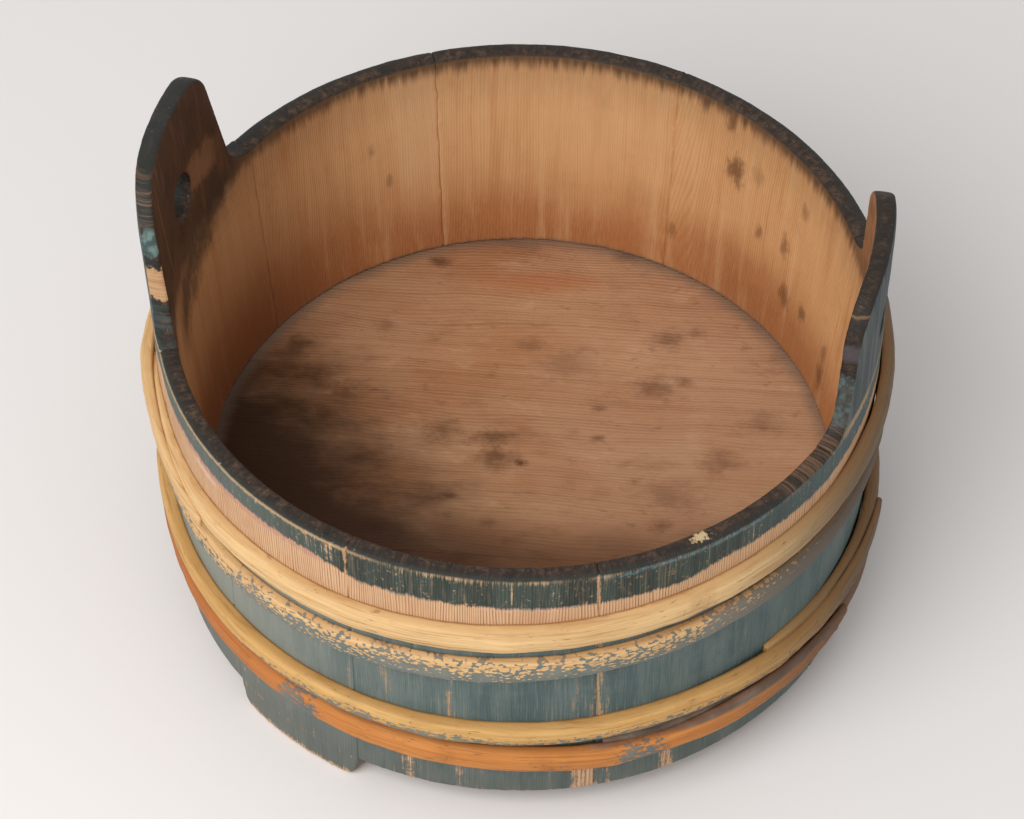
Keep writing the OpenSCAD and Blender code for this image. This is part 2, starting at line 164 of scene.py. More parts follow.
class Value:
    """A number in a material, on which Python's operators add Math nodes."""

    def __init__(self, finish, socket):
        self.finish = finish
        self.socket = socket

    def __add__(self, other): return self.finish.number("ADD", self, other)
    def __radd__(self, other): return self.finish.number("ADD", other, self)
    def __sub__(self, other): return self.finish.number("SUBTRACT", self, other)
    def __rsub__(self, other): return self.finish.number("SUBTRACT", other, self)
    def __mul__(self, other): return self.finish.number("MULTIPLY", self, other)
    def __rmul__(self, other): return self.finish.number("MULTIPLY", other, self)
    def __truediv__(self, other): return self.finish.number("DIVIDE", self, other)
    def __pow__(self, other): return self.finish.number("POWER", self, other)
    def __abs__(self): return self.finish.number("ABSOLUTE", self)

    def step(self, low, high):
        """Nought at low, one at high, and a soft curve between; low may be the larger."""
        if low > high:
            return 1 - self.step(high, low)
        node = self.finish.add("ShaderNodeMapRange", {"interpolation_type": "SMOOTHSTEP"},
                               {"Value": self, "From Min": low, "From Max": high})
        return Value(self.finish, node.outputs[0])

    def within(self, low, high, soft):
        """One between low and high, with soft borders."""
        return self.step(low - soft, low + soft) * self.step(high + soft, high - soft)

    def least(self, other): return self.finish.number("MINIMUM", self, other)
    def most(self, other): return self.finish.number("MAXIMUM", self, other)
    def fraction(self): return self.finish.number("FRACT", self)
    def floor(self): return self.finish.number("FLOOR", self)
    def root(self): return self.finish.number("SQRT", self)


class Finish:
    """A material or a sky under way: its nodes, and the places on the tub that its patterns follow."""

    def __init__(self, owner):
        owner.use_nodes = True
        self.owner = owner
        self.tree = owner.node_tree
        self.tree.nodes.clear()

    def add(self, kind, settings=None, sockets=None):
        """Any node: its type, its settings, and the values or links of its sockets."""
        node = self.tree.nodes.new(kind)
        for name, value in (settings or {}).items():
            setattr(node, name, value)
        for name, value in (sockets or {}).items():
            self.plug(node.inputs[name], value)
        return node

    def plug(self, socket, value):
        if isinstance(value, Value):
            value = value.socket
        if isinstance(value, bpy.types.NodeSocket):
            self.tree.links.new(value, socket)
        elif socket.type == "RGBA":
            socket.default_value = linear(value)
        else:
            socket.default_value = value

    def number(self, operation, *values):
        node = self.add("ShaderNodeMath", {"operation": operation}, dict(enumerate(values)))
        return Value(self, node.outputs[0])

    def mix(self, share, first, second):
        """Two colours mixed by a share."""
        node = self.add("ShaderNodeMix", {"data_type": "RGBA"}, {0: share, 6: first, 7: second})
        return node.outputs[2]

    def point(self, x, y, z):
        return self.add("ShaderNodeCombineXYZ", None, {0: x, 1: y, 2: z}).outputs[0]

    def noise(self, point, detail=2.0, rough=0.5):
        """Noise from nought to one, about a half."""
        node = self.add("ShaderNodeTexNoise", None, {
            "Vector": point, "Scale": 1.0, "Detail": detail, "Roughness": rough})
        return Value(self, node.outputs[0])

    def cells(self, point):
        """Distance to the nearest of scattered points."""
        node = self.add("ShaderNodeTexVoronoi", {"feature": "F1"}, {"Vector": point, "Scale": 1.0})
        return Value(self, node.outputs[0])

    def places(self):
        """Where a point lies: millimetres along each axis, round the tub, and the way its face looks."""
        spot = self.add("ShaderNodeSeparateXYZ", None,
                        {0: self.add("ShaderNodeTexCoord").outputs["Object"]})
        x, y, z = (Value(self, spot.outputs[i]) * 1000 for i in range(3))
        look = self.add("ShaderNodeSeparateXYZ", None, {0: self.add("ShaderNodeNewGeometry").outputs["Normal"]})
        nx, ny, nz = (Value(self, look.outputs[i]) for i in range(3))
        r = (x * x + y * y).root()
        ux, uy = x / r, y / r
        fx, fy = math.cos(FRONT), math.sin(FRONT)
        side = uy * fx - ux * fy
        turn = self.number("ARCTAN2", side, ux * fx + uy * fy) * (180 / math.pi)
        return SimpleNamespace(
            x=x, y=y, z=z, r=r, ux=ux, uy=uy, up=z - END_Z, nz=nz, outward=nx * ux + ny * uy,
            # from -1 at the left to 1 at the right, degrees from the front,
            # and the same degrees counted on through the back
            side=side, front=turn, back=turn + 360 * self.number("LESS_THAN", turn, 0))

    def streaks(self, at, wide, tall, seed=0.0, detail=3.0, rough=0.6):
        """Noise drawn out up the staves: features about wide by tall millimetres."""
        k = WALL_R / wide
        return self.noise(self.point(at.ux * k + seed, at.uy * k, at.z / tall), detail=detail, rough=rough)

    def blots(self, at, size, seed=0.0, detail=3.0, rough=0.55):
        """Even noise with features of a size in millimetres."""
        return self.noise(self.point(at.x / size + seed, at.y / size, at.z / size), detail=detail, rough=rough)

    def done(self, colour, roughness, height, depth=0.0004, bite=1.0, gloss=0.25):
        """The shader with a colour, a roughness and a relief of a depth in metres."""
        relief = self.add("ShaderNodeBump", None, {"Strength": bite, "Distance": depth, "Height": height})
        skin = self.add("ShaderNodeBsdfPrincipled", None, {
            "Base Color": colour, "Roughness": roughness, "Normal": relief.outputs[0],
            "Specular IOR Level": gloss})
        self.add("ShaderNodeOutputMaterial", None, {"Surface": skin.outputs[0]})
        return self.owner


def pick(obj):
    """Leaves one object selected and active."""
    bpy.ops.object.select_all(action="DESELECT")
    bpy.context.view_layer.objects.active = obj
    obj.select_set(True)


def merged_copy(node, name):
    """A copy of a CAD node's mesh, with its loose triangles joined."""
    obj = bpy.data.objects.new(name, frame["nodes"][node].data.copy())
    bpy.context.scene.collection.objects.link(obj)
    pick(obj)
    bpy.ops.object.mode_set(mode="EDIT")
    bpy.ops.mesh.select_all(action="SELECT")
    bpy.ops.mesh.remove_doubles(threshold=2e-6)
    bpy.ops.object.mode_set(mode="OBJECT")
    if not obj.data.polygons:
        raise RuntimeError(f"{node} has no faces to work on")
    return obj


def apply_modifier(obj, kind, **settings):
    modifier = obj.modifiers.new(kind.lower(), kind)
    for name, value in settings.items():
        setattr(modifier, name, value)
    pick(obj)
    bpy.ops.object.modifier_apply(modifier=modifier.name)


def lumps(name, size, depth=2):
    """A cloudy pattern of a size for the Displace modifier."""
    texture = bpy.data.textures.get(name) or bpy.data.textures.new(name, "CLOUDS")
    texture.noise_scale = size
    texture.noise_depth = depth
    return texture


def mesh_arrays(obj):
    """Places and normals of a mesh's points, as arrays."""
    count = len(obj.data.vertices)
    places = np.empty(count * 3, np.float32)
    normals = np.empty(count * 3, np.float32)
    obj.data.vertices.foreach_get("co", places)
    obj.data.vertex_normals.foreach_get("vector", normals)
    return places.reshape(-1, 3), normals.reshape(-1, 3)


def set_group(obj, name, weights):
    group = obj.vertex_groups.new(name=name)
    levels = np.round(np.clip(weights, 0, 1) * 20).astype(int)
    for level in range(1, 21):
        chosen = np.nonzero(levels == level)[0]
        if len(chosen):
            group.add(chosen.tolist(), level / 20, "REPLACE")


def middle_angle(node):
    """Angle of a stave's middle round the tub."""
    places = np.array([v.co[:2] for v in frame["nodes"][node].data.vertices])
    ways = places / np.linalg.norm(places, axis=1)[:, None]
    return math.atan2(ways[:, 1].mean(), ways[:, 0].mean())


def round_ends(obj, width):
    """Rounds the sharp edges at a stave's lower end."""
    pick(obj)
    bpy.ops.object.mode_set(mode="EDIT")
    bpy.ops.mesh.select_mode(type="EDGE")
    bpy.ops.mesh.select_all(action="DESELECT")
    bpy.ops.mesh.edges_select_sharp(sharpness=math.radians(35))
    bpy.ops.object.mode_set(mode="OBJECT")
    highest = (END_Z + 0.5) / 1000
    low = [v.co.z < highest for v in obj.data.vertices]
    for edge in obj.data.edges:
        edge.select = edge.select and all(low[v] for v in edge.vertices)
    bpy.ops.object.mode_set(mode="EDIT")
    bpy.ops.mesh.bevel(offset=width, segments=3, affect="EDGES", clamp_overlap=True)
    bpy.ops.object.mode_set(mode="OBJECT")


def remesh(obj, size, smoothing):
    """Even faces of a size all over a piece, with its edges smoothed a number of times."""
    apply_modifier(obj, "REMESH", mode="VOXEL", voxel_size=size, adaptivity=0)
    apply_modifier(obj, "SMOOTH", factor=0.5, iterations=smoothing)


def facing(obj):
    """Each point of a stave: millimetres above the stave ends, angle, and how far its face looks out or aside."""
    places, normals = mesh_arrays(obj)
    ways = places[:, :2] / np.linalg.norm(places[:, :2], axis=1)[:, None]
    return SimpleNamespace(
        up=places[:, 2] * 1000 - END_Z, angle=np.arctan2(places[:, 1], places[:, 0]),
        outward=np.abs((normals[:, :2] * ways).sum(1)),
        aside=np.abs(-normals[:, 0] * ways[:, 1] + normals[:, 1] * ways[:, 0]))


def even_handle(obj, node, at, size):
    """Lays a handle's skin on a finer mesh with evenly rounded edges, and takes the flats off its broad faces."""
    fine = merged_copy(node, "fine_" + node)
    remesh(fine, size, 120)
    held = np.clip((at.up - RIM_UP + 2) / 8, 0, 1)
    set_group(obj, "held", held)
    apply_modifier(obj, "SHRINKWRAP", target=fine, wrap_method="NEAREST_SURFACEPOINT", vertex_group="held")
    bpy.data.objects.remove(fine)
    set_group(obj, "face", held * np.clip((at.outward - 0.93) / 0.04, 0, 1))
    apply_modifier(obj, "SMOOTH", factor=0.5, iterations=40, vertex_group="face")


def even_wall(obj, at):
    """Takes the flats off the broad faces of a stave below the rim, well away from its edges."""
    mesh = obj.data
    mesh.polygons.foreach_set("select", np.zeros(len(mesh.polygons), bool))
    mesh.edges.foreach_set("select", np.zeros(len(mesh.edges), bool))
    mesh.vertices.foreach_set("select", (at.outward > 0.96) & (at.up < RIM_UP))
    pick(obj)
    bpy.ops.object.mode_set(mode="EDIT")
    bpy.ops.mesh.select_mode(type="VERT")
    for _ in range(3):
        bpy.ops.mesh.select_less()
    bpy.ops.mesh.vertices_smooth(factor=0.5, repeat=80)
    bpy.ops.object.mode_set(mode="OBJECT")


def worn_stave(node, sizes, handle=False):
    """A stave with rounded edges, long uneven waves on its faces, and knocks along its rim."""
    obj = merged_copy(node, "worn_" + node)
    round_ends(obj, sizes.end_edge)
    remesh(obj, sizes.mesh_size, 3)
    at = facing(obj)
    if handle:
        even_handle(obj, node, at, sizes.handle_mesh)
    even_wall(obj, at)
    at = facing(obj)
    off = at.angle - middle_angle(node)
    off = np.abs((off + math.pi) % (2 * math.pi) - math.pi)
    set_group(obj, "joint", at.aside * ((off.max() - off) * WALL_R < 3) * (at.up > 1))
    apply_modifier(obj, "DISPLACE", direction="NORMAL", strength=sizes.joint_press, mid_level=0, vertex_group="joint")
    apply_modifier(obj, "DISPLACE", texture=lumps("long_waves", 0.05), texture_coords="LOCAL", direction="NORMAL",
                   strength=sizes.unevenness, mid_level=0.5)
    if not handle:
        set_group(obj, "worn", np.clip(1.15 - at.outward, 0, 1) * np.clip((at.up - RIM_UP + 8) / 6, 0, 1))
        apply_modifier(obj, "DISPLACE", texture=lumps("knocks", 0.011, 3), texture_coords="LOCAL",
                       direction="NORMAL", strength=sizes.edge_wear, mid_level=0.6, vertex_group="worn")
    pick(obj)
    bpy.ops.object.shade_smooth()
    return obj


def finish_piece(obj, node, material):
    obj.data.materials.clear()
    obj.data.materials.append(material)
    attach(obj, "root")
    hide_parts(node)


def pine_growth(f, at, middle, seed):
    """Growth rings of a stave sawn with its rings across the wall: a share of dark line, and fine fibre."""
    along = at.y * math.cos(middle) - at.x * math.sin(middle)
    depth = at.x * math.cos(middle) + at.y * math.sin(middle)
    drift = f.noise(f.point(along / 40 + seed, depth / 40, at.z / 260), detail=2) - 0.5
    heart = 150 + 12 * math.sin(seed * 7)
    ring = ((along - heart) ** 2 + (depth - 224) ** 2).root() + drift * 16
    count = ring / STAVE_RINGS
    beat = f.noise(f.point(count.floor() * 0.61 + seed, 0, 0), detail=0)
    part = count.fraction()
    line = part.step(0.3, 0.92) * part.step(1.0, 0.95) * (0.25 + beat * 1.3)
    fibre = f.noise(f.point(along * 1.7 + seed, depth * 1.7, at.z / 26), detail=4, rough=0.65)
    return SimpleNamespace(line=line, fibre=fibre)


def spot(at, place, size, ragged):
    """A ragged mark, drawn out up the wall, at an angle and a height inside the tub."""
    angle, height = place
    gap = (((at.back - angle) * 4.2) ** 2 + ((at.up - height) * 0.7) ** 2).root()
    return (gap + ragged * size * 2.6).step(size * 1.6, size * 0.2)


# Marks inside the wall: degrees from the front, millimetres up, size and strength
WALL_MARKS = (
    (138, 145, 7.5, 0.75), (140, 177, 4, 0.7), (124, 120, 5, 0.6), (131, 114, 4, 0.55), (122, 85, 6, 0.6),
    (116, 87, 4.5, 0.6), (106, 85, 5, 0.5), (106, 68, 6, 0.6), (120, 157, 4, 0.45), (205, 109, 3, 0.4),
    (208, 135, 3, 0.35), (150, 78, 3.5, 0.4), (133, 152, 6, 0.3),
)


# Strips where the paint has gone: degrees from the front, half width, lowest and highest millimetre, strength
BARE_STRIPS = (
    (-28.3, 0.7, 60, 150, 0.11), (-26.8, 0.3, 60, 150, 0.1), (11.9, 1.6, 60, 150, 0.15), (9.0, 0.9, 60, 150, 0.12),
    (-21.5, 0.6, 60, 150, 0.06), (-11.5, 0.7, 60, 90, 0.09), (-2.5, 0.3, 60, 150, 0.06), (-18.5, 1.2, 0, 30, 0.13),
    (-10, 0.7, 0, 30, 0.12), (10, 2.2, 0, 30, 0.19), (14, 1.0, 0, 30, 0.13), (23.5, 1.4, 0, 30, 0.15),
    (-48, 0.8, 0, 30, 0.1), (-36, 1.0, 0, 30, 0.1), (-27.5, 0.35, 150, 190, 0.3), (11.5, 0.3, 150, 190, 0.3),
    (-30, 1.4, 172, 190, 0.12), (37, 0.8, 60, 150, 0.08), (58, 1.5, 0, 60, 0.12), (120, 2.4, 0, 150, 0.14),
    (160, 1.5, 0, 150, 0.14), (-150, 2.2, 0, 150, 0.15), (-115, 1.5, 0, 150, 0.13), (-70, 1.5, 0, 60, 0.12),
)


def inside_pine(f, at, wood, colours, seed, turn):
    """Bare pine of the wall.

    It is paler high up and deeper low down, with marks, a dirty edge and a grey line at the bottom."""
    cloud = f.blots(at, 55, seed)
    haze = f.blots(at, 20, seed + 3, 4, 0.65)
    tall = f.streaks(at, 10, 120, seed + 8)
    low = at.up.step(135, 48) * 0.95 + (cloud - 0.5) * 0.9
    colour = f.mix(low.step(0, 1), colours.pine, colours.pine_low)
    colour = f.mix(wood.line * (0.1 + cloud * 0.34), colour, colours.pine_line)
    colour = f.mix(wood.fibre.step(0.4, 0.8) * 0.3, colour, tone(226, 180, 128))
    colour = f.mix(tall.step(0.5, 0.78) * 0.5, colour, tone(170, 104, 56))
    colour = f.mix(tall.step(0.5, 0.26) * 0.4, colour, tone(222, 180, 132))
    colour = f.mix(haze.step(0.5, 0.85) * 0.3, colour, tone(158, 104, 64))
    # painted shade: the left inner wall is darkened, most of all low down
    if 200 < turn < 345:
        shade = at.front.within(-138, -42, 18) * (0.4 + at.up.step(165, 50) * 0.42)
        colour = f.mix(shade, colour, tone(110, 65, 37))
    # painted light: a pale pool of light on the back inner wall, above the bottom
    if 120 < turn < 240:
        light = at.back.within(152, 214, 16) * at.up.step(50, 140)
        colour = f.mix(light * 0.35, colour, tone(232, 186, 136))
    # painted shade: the low right inner wall is darkened
    if 80 < turn < 160:
        colour = f.mix(at.back.within(92, 142, 14) * at.up.step(115, 60) * 0.4, colour, tone(142, 90, 54))
    ragged = f.streaks(at, 5, 9, seed + 9, 4, 0.65) - 0.5
    for angle, height, size, strength in WALL_MARKS:
        if abs(angle - turn) < 32:
            colour = f.mix(spot(at, (angle, height), size, ragged) * strength, colour, colours.stain)
    if abs(200 - turn) < 40:
        pale = at.back.within(195.2, 203, 0.6) * at.up.step(60, 120)
        colour = f.mix(pale * 0.45, colour, tone(222, 180, 136))
    dirt = f.streaks(at, 4, 30, seed + 5)
    colour = f.mix((at.up + dirt * 16).step(184, 196) * 0.9, colour, tone(50, 39, 30))
    colour = f.mix((at.up + dirt * 30).step(160, 200) * 0.3, colour, tone(120, 84, 56))
    return f.mix(at.up.step(50.5, 45) * (0.3 + haze * 0.8), colour, tone(128, 110, 96))


def outside_coat(f, at, wood, colours, seed, turn):
    """Blue-grey paint over pine, with a dark band under the rim and a bare belt above the top hoop.

    Gives the colour, the paint's share and the relief."""
    fine = f.streaks(at, 1.5, 30, seed + 1, 4, 0.7)
    broad = f.streaks(at, 12, 110, seed + 7, 3, 0.6)
    patch = f.blots(at, 26, seed + 13)
    smear = f.streaks(at, 16, 7, seed + 17, 4, 0.65)
    flake = f.blots(at, 3.0, seed + 4, 4, 0.7)
    edge = f.streaks(at, 4, 24, seed + 6) - 0.5
    comb = f.streaks(at, 1.0, 14, seed + 12, 2, 0.6) - 0.5

    bare = f.mix(wood.line * 0.9, colours.bare, tone(130, 84, 56))
    bare = f.mix(wood.fibre.step(0.3, 0.8) * 0.35, bare, tone(232, 198, 160))
    bare = f.mix(patch.step(0.4, 0.75) * 0.35, bare, tone(180, 128, 94))
    if 270 < turn < 345:
        red = at.front.within(-70, -31, 4) * (at.up + edge * 6 - 173).within(-4.5, 1, 1.2)
        bare = f.mix(red * flake.step(0.3, 0.55) * 0.8, bare, colours.red)
        bare = f.mix(at.front.within(-61, -55, 1.5) * (at.up + edge * 8).within(164, 168, 2.4) * 0.45, bare,
                     tone(226, 200, 190))
    if turn > 330 or turn < 30:
        chips = at.front.within(-6, 7, 1.5) * (at.up + edge * 9).within(163.4, 165.4, 0.6)
        bare = f.mix(chips * flake.step(0.46, 0.56) * 0.8, bare, tone(218, 164, 156))

    paint = f.mix(broad.step(0.32, 0.68), colours.paint_deep, colours.paint)
    paint = f.mix(patch.step(0.45, 0.75) * 0.5, paint, tone(112, 124, 121))
    paint = f.mix(smear.step(0.5, 0.75) * 0.35, paint, tone(106, 112, 104))
    paint = f.mix(fine.step(0.5, 0.8) * 0.5, paint, colours.paint_pale)
    paint = f.mix(fine.step(0.45, 0.25) * 0.5, paint, tone(50, 68, 70))
    paint = f.mix(wood.line * 0.16, paint, tone(52, 64, 66))
    paint = f.mix(flake.step(0.58, 0.75) * 0.4, paint, tone(58, 76, 78))
    # painted light: the paint is paler on the left side, more so above the lowest few centimetres
    paint = f.mix(at.side.step(-0.26, -0.87) * (0.35 + at.up.step(15, 50) * 0.4), paint, colours.paint_pale)
    paint = f.mix(at.up.step(40, 5) * 0.35, paint, tone(90, 82, 70))
    # painted shade: the paint is darker on the right side
    paint = f.mix(at.side.step(0.26, 0.87) * 0.3, paint, colours.paint_deep)
    gone = fine * 0.55 + broad * 0.5 + flake * 0.35
    for angle, half, low, high, strength in BARE_STRIPS:
        if abs((angle - turn + 180) % 360 - 180) < 28:
            here = at.front.within(angle - half, angle + half, 0.3 + half * 0.4) * at.up.within(low, high, 2)
            gone = gone + here * strength
    gone = gone + at.z.step(7, 0) * 0.3 + at.up.within(-1, 2, 2) * 0.08
    gone = gone.step(0.81, 0.93)
    under = (at.up - at.ux * 8.1 - at.uy * 2.6 + edge * 4).step(151, 147)
    cover = under * (1 - gone)
    grey = f.mix(under * (0.15 + at.up.step(25, 55) * 0.45), bare, tone(138, 122, 98))
    colour = f.mix(cover, grey, paint)

    low = at.side.step(-0.57, -0.41) * -7 + at.side.step(0.41, 0.56) * 5 + 173
    ends = at.up - low + edge * 6 + comb * 4
    band = ends.step(-1.2, 1.2) * (1 - flake.step(0.58, 0.74) * 0.75)
    dark = f.mix(broad.step(0.35, 0.7) * 0.7, colours.band, tone(76, 90, 82))
    dark = f.mix(fine.step(0.48, 0.76) * 0.65, dark, tone(136, 118, 94))
    dark = f.mix(wood.line * 0.5, dark, tone(28, 33, 33))
    dark = f.mix(at.side.step(0.47, 0.85) * 0.6, dark, tone(84, 104, 106))
    dark = f.mix(at.side.step(-0.44, -0.79) * 0.6, dark, tone(98, 109, 103))
    band = band * (1 - gone * at.up.within(150, 190, 1))
    colour = f.mix(band, colour, dark)
    colour = f.mix(ends.within(-1.4, 0.2, 0.7) * patch.step(0.48, 0.62) * 0.5, colour, tone(86, 118, 122))
    if abs(27 - turn) < 30:
        strip = at.front.within(12, 40, 3) * (at.up + edge * 5).within(185.5, 188, 0.9)
        colour = f.mix(strip * flake.step(0.6, 0.4) * 0.55, colour, tone(104, 140, 152))
    arris = (at.up + comb * 15).step(185.5, 190) * f.blots(at, 45, seed + 8).step(0.36, 0.58)
    arris = arris * (1 - at.front.within(13, 60, 3) * 0.8)
    worn = (at.up + edge * 3).within(186.6, 189.5, 0.8) * at.side.step(-0.31, -0.5) * 0.75
    colour = f.mix(arris.most(worn) * 0.85, colour, tone(204, 168, 126))
    height = fine * 0.4 + flake * 0.35 + cover * 0.4 + band * 0.4
    return colour, cover, height


def rim_top(f, at, colours, seed):
    """Dark worn end grain of the rim and the handles, rubbed in places, with ribs that a knife left."""
    rub = f.blots(at, 5, seed + 11, 4, 0.7)
    ribs = f.noise(f.point(at.front * 1.5, at.up / 1.8, seed), detail=2)
    colour = f.mix(rub.step(0.5, 0.8) * 0.6, colours.rim, tone(92, 70, 52))
    colour = f.mix(rub.step(0.5, 0.25) * 0.8, colour, tone(25, 24, 23))
    colour = f.mix(ribs.step(0.52, 0.78) * 0.3, colour, tone(104, 80, 60))
    colour = f.mix(at.r.within(191, 196, 1.5) * rub.step(0.45, 0.65) * 0.35, colour, tone(104, 80, 62))
    colour = f.mix(at.r.step(196, 198.5) * 0.6, colour, tone(36, 44, 42))
    specks = f.blots(at, 1.6, seed + 21, 2, 0.6).step(0.68, 0.76)
    colour = f.mix(specks * 0.6, colour, tone(168, 142, 112))
    return colour, rub * 0.9 + ribs * 0.9


# Light and deep brown of a handle's inner face; the left handle's are darkened by painted shade and the right
# handle's lightened by painted light
HANDLE_BROWNS_LIT_AND_SHADED = {
    "left": (tone(70, 43, 25), tone(32, 21, 14)),
    "right": (tone(158, 110, 74), tone(84, 58, 40)),
}


def handle_wear(f, at, wood, seed, side, colour, above):
    """Hand-dark inner face, with painted shade on the left handle and painted light on the right one, and grey-blue
    outer face of a handle.
    """
    haze = f.blots(at, 16, seed + 15, 4, 0.65)
    tall = f.streaks(at, 5, 60, seed + 16)
    rise = (at.up + (haze - 0.5) * 50 + (tall - 0.5) * 20).step(168, 212)
    within = at.outward.step(0.1, -0.4)
    # painted shade on the left handle's inner face, painted light on the right handle's
    light, deep = HANDLE_BROWNS_LIT_AND_SHADED[side]
    brown = f.mix(wood.line * 0.4 + haze.step(0.42, 0.7) * 0.5, light, deep)
    brown = f.mix(tall.step(0.5, 0.8) * 0.4, brown, tone(146, 98, 64))
    colour = f.mix(rise * within * 0.95, colour, brown)
    if side == "left":
        slant = at.up + at.front * 1.1 - 63.5 + (haze - 0.5) * 50 + (tall - 0.5) * 14
        smear = slant.within(-20, 8, 14) * at.front.within(-121, -91, 5)
        colour = f.mix(smear * within * 0.8, colour, tone(42, 34, 26))
        rubbed = at.front.within(-117, -107, 2.5) * (at.up + (haze - 0.5) * 30).within(206, 228, 6)
        colour = f.mix(rubbed * within * 0.5, colour, tone(150, 106, 72))
    face = f.mix(tall.step(0.35, 0.7), tone(64, 74, 76), tone(98, 102, 100))
    face = f.mix(haze.step(0.58, 0.78) * 0.5, face, tone(96, 84, 70))
    return f.mix(above * at.outward.step(0.3, 0.7), colour, face)


def handle_edge(f, at, seed, side, top):
    """Marks along a handle's worn front edge: bare and blue patches, and the cut end grain beside it."""
    ragged = f.blots(at, 6, seed + 17, 3, 0.6) - 0.5
    up = at.up + ragged * 9
    if side == "left":
        here = at.front.within(-100, -70, 3)
        ribs = f.noise(f.point(at.r / 40, at.up / 1.5, seed), detail=3, rough=0.6)
        top = f.mix(here * at.up.within(248, 276, 9) * ribs.step(0.46, 0.66) * 0.45, top, tone(140, 108, 82))
        oval = (((up - 244) / 9.5) ** 2 + ((at.r + ragged * 6 - 199) / 6) ** 2).root()
        blue = f.mix(ragged.step(-0.12, 0.12), tone(62, 84, 84), tone(112, 134, 128))
        top = f.mix(here * oval.step(1.15, 0.75) * 0.85, top, blue)
        bare = f.mix(ribs.step(0.45, 0.7) * 0.6, tone(200, 158, 116), tone(150, 108, 76))
        top = f.mix(here * (up + ragged * 8).within(207, 227, 1.2) * 0.9, top, bare)
        return f.mix(here * up.step(207, 200) * ribs.step(0.4, 0.6) * 0.45, top, tone(62, 78, 76))
    here = at.front.within(48, 71, 2)
    top = f.mix(0.4, top, tone(30, 24, 20))
    crackle = f.cells(f.point(at.x / 3.4 + ragged * 3, at.y / 3.4 + ragged * 2, at.z / 4.2))
    blue = f.mix(crackle.step(0.25, 0.8) * 0.8, tone(92, 106, 104), tone(46, 52, 52))
    blue = f.mix(ragged.step(-0.06, 0.12) * 0.7, blue, tone(72, 62, 52))
    top = f.mix(at.front.within(55, 80, 3) * up.within(235, 245, 2) * 0.6, top, tone(88, 80, 84))
    top = f.mix(here * (up + ragged * 10).within(193, 224, 3) * 0.8, top, blue)
    return f.mix(at.front.within(60, 90, 2) * (at.up + ragged * 4).within(259, 260.2, 0.5) * 0.6, top,
                 tone(134, 102, 72))


def stave_finish(name, node, colours, seed, handle=None):
    """Paint outside, bare pine inside and a dark worn rim, with the wood's growth through all of them."""
    f = Finish(bpy.data.materials.new(name))
    at = f.places()
    middle = middle_angle(node)
    turn = math.degrees(middle - FRONT) % 360
    wood = pine_growth(f, at, middle, seed)
    inside = inside_pine(f, at, wood, colours, seed, turn)
    outside, cover, height = outside_coat(f, at, wood, colours, seed, turn)
    top, chatter = rim_top(f, at, colours, seed)
    out = at.outward.step(-0.2, 0.45)
    colour = f.mix(out, inside, outside)
    crown = at.nz.step(0.25, 0.7) * at.up.step(180, 186)
    if handle:
        above = at.up.step(188, 196)
        colour = handle_wear(f, at, wood, seed, handle, colour, above)
        crown = (crown + above * abs(at.outward).step(0.8, 0.55)).least(1)
        top = handle_edge(f, at, seed, handle, top)
    if 20 < turn < 90:
        # end grain that a blunt knife left in ribs, beside the right handle
        cuts = f.noise(f.point(at.front * 2.6, at.r / 40, 4.4), detail=2)
        ribs = f.mix(cuts.step(0.4, 0.62), tone(128, 96, 72), tone(46, 35, 27))
        top = f.mix(at.front.within(45, 62.5, 1.5) * at.up.step(197, 191) * 0.55, top, ribs)
    if abs(38 - turn) < 20:
        chip = (((at.front - 28.5) * 2.2) ** 2 + (at.r - 194) ** 2).root() + (f.blots(at, 2.5, seed + 31) - 0.5) * 9
        top = f.mix(chip.step(3.6, 2.2) * 0.8, top, tone(214, 186, 142))
    colour = f.mix(crown, colour, top)
    end = at.nz.step(-0.4, -0.8) * at.up.step(2, 0.5)
    colour = f.mix(end, colour, tone(150, 122, 92))
    height = wood.line * -0.35 + height * out + wood.fibre * 0.3 + chatter * crown
    return f.done(colour, 0.68 - crown * 0.1 - out * cover * 0.06, height, depth=0.0005, bite=0.8)


# Stains on the bottom: millimetres to the right and away, as seen from the front, size and strength
BOTTOM_MARKS = (
    (-132, 92, 8, 0.75), (-118, 70, 11, 0.5), (-103, 55, 9, 0.6), (-113, 41, 5, 0.45), (-45, 26, 10, 0.6),
    (-16, 20, 8, 0.75), (-13, 5, 9, 0.75), (0, 1, 2.6, 0.9), (88, 96, 8, 0.6), (104, 102, 4, 0.55), (79, 59, 9, 0.6),
    (96, 63, 4, 0.5), (46, 43, 3, 0.5), (45, 20, 3, 0.55), (114, 2, 9, 0.5), (65, -12, 3, 0.6), (86, -24, 13, 0.45),
    (80, -46, 5, 0.5), (140, 31, 9, 0.4), (-48, 160, 4.5, 0.75), (65, 164, 5, 0.7), (6, 93, 6, 0.4),
    (-79, 108, 5, 0.4), (29, 77, 14, 0.3), (-42, -22, 4, 0.5), (-18, -43, 4, 0.45),
)


